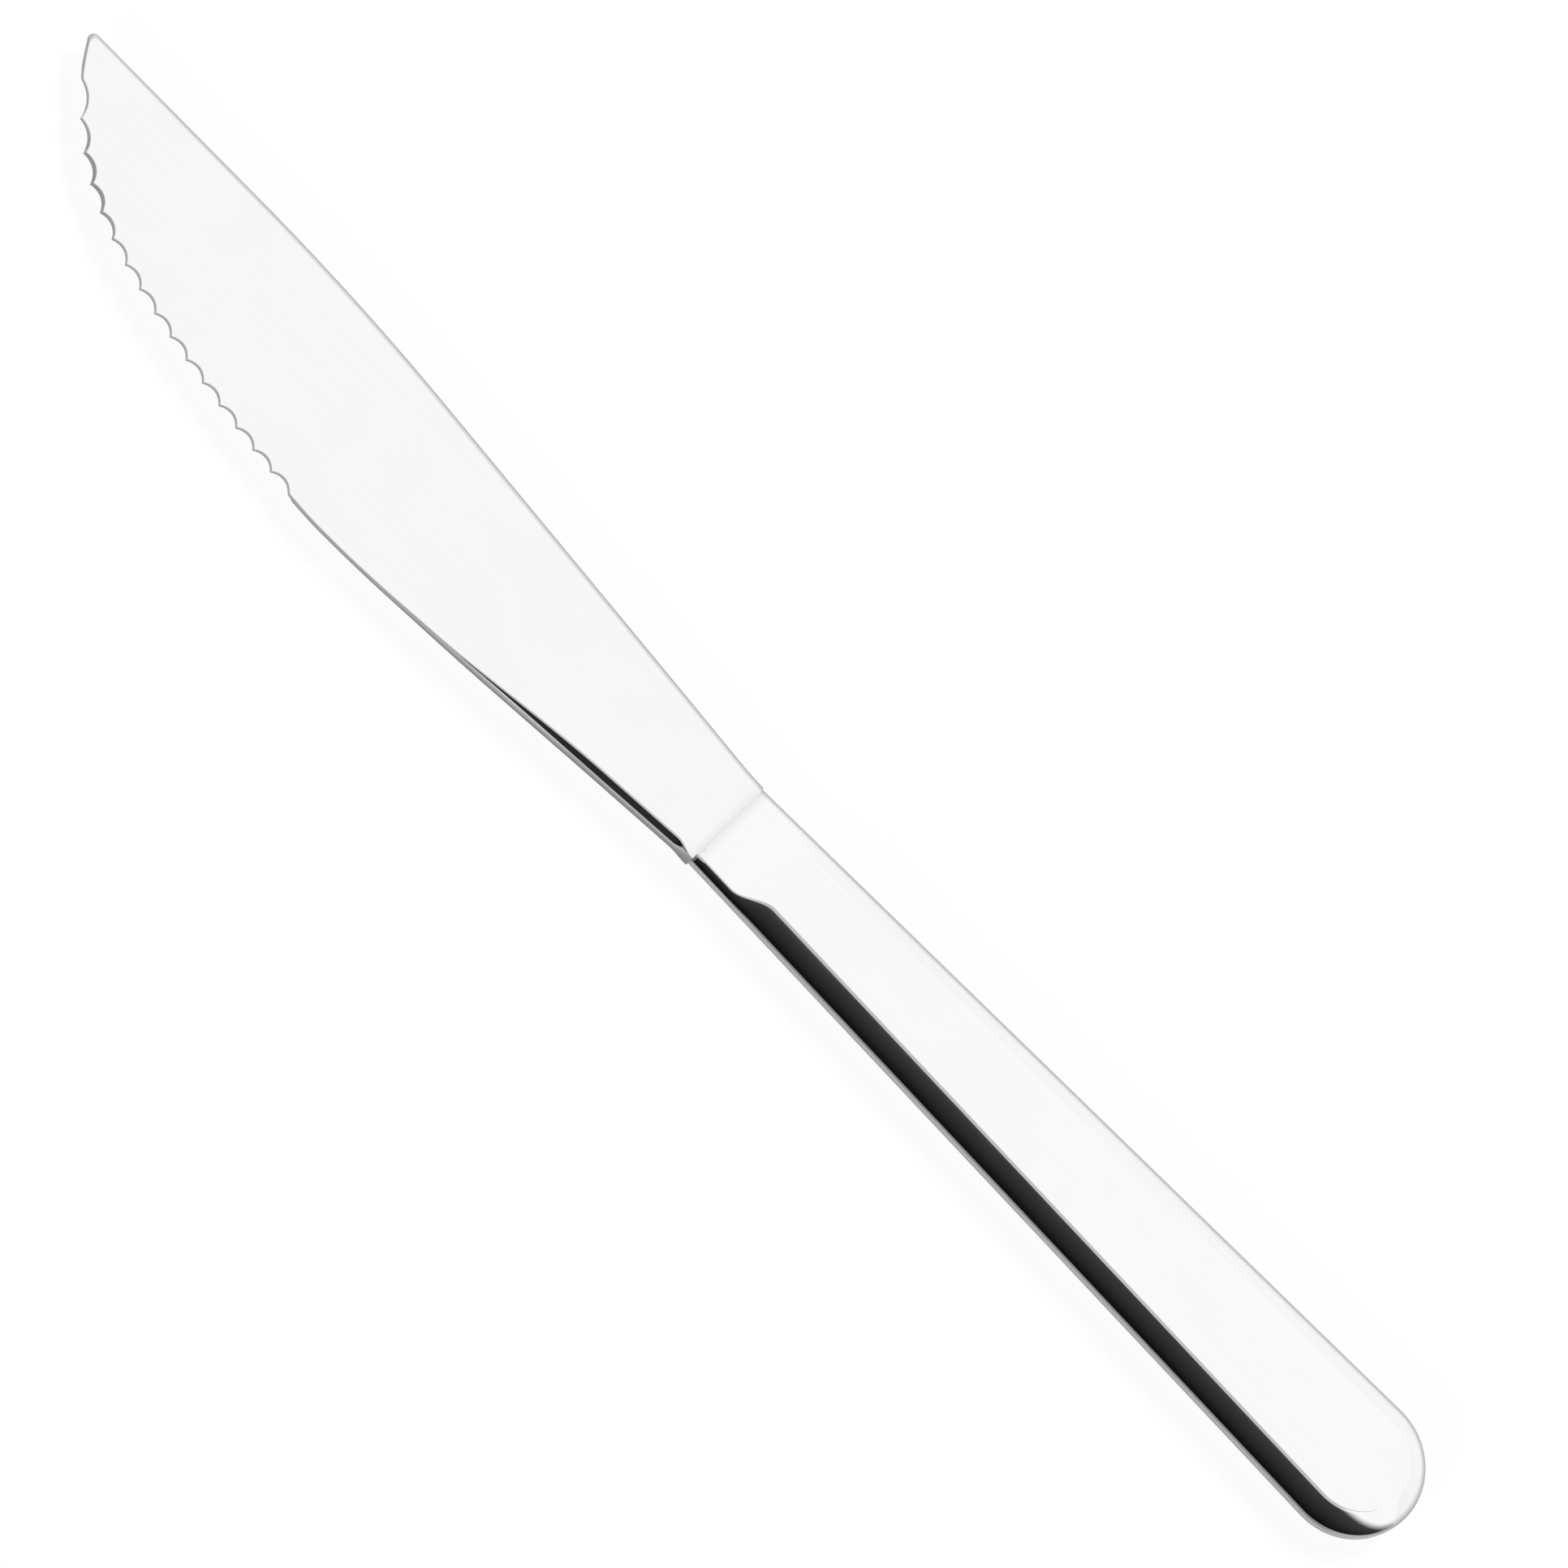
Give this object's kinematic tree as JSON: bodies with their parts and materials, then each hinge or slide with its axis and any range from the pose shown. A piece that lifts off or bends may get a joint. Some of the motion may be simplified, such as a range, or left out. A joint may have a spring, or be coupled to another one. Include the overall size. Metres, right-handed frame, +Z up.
{
  "type": "table knife",
  "caption": "Table knife with a scalloped, upswept steel blade soldered into a slim hollow handle with bevelled sides and a round butt.",
  "frame": {"origin": "below the middle of the knife's outline, on the surface that the handle's back face lies on", "axes": "+X from the blade's tip to the handle's butt, +Y from the cutting edge to the spine, +Z up out of the front face"},
  "size_m": [0.2304, 0.0236, 0.0062],
  "materials": {
    "blade_steel": "mirror polished stainless steel",
    "handle_steel": "mirror polished stainless steel",
    "filler_metal": "ground flush and polished",
    "cement": "cast, inside the handle",
    "weight_steel": "rolled, inside the handle"
  },
  "bodies": {
    "root": {"blade": "blade_steel", "handle_front_shell": "handle_steel", "handle_back_shell": "handle_steel", "handle_seam": "filler_metal", "mouth_solder": "filler_metal", "handle_cement": "cement", "balance_weight": "weight_steel"}
  },
  "joints": []
}
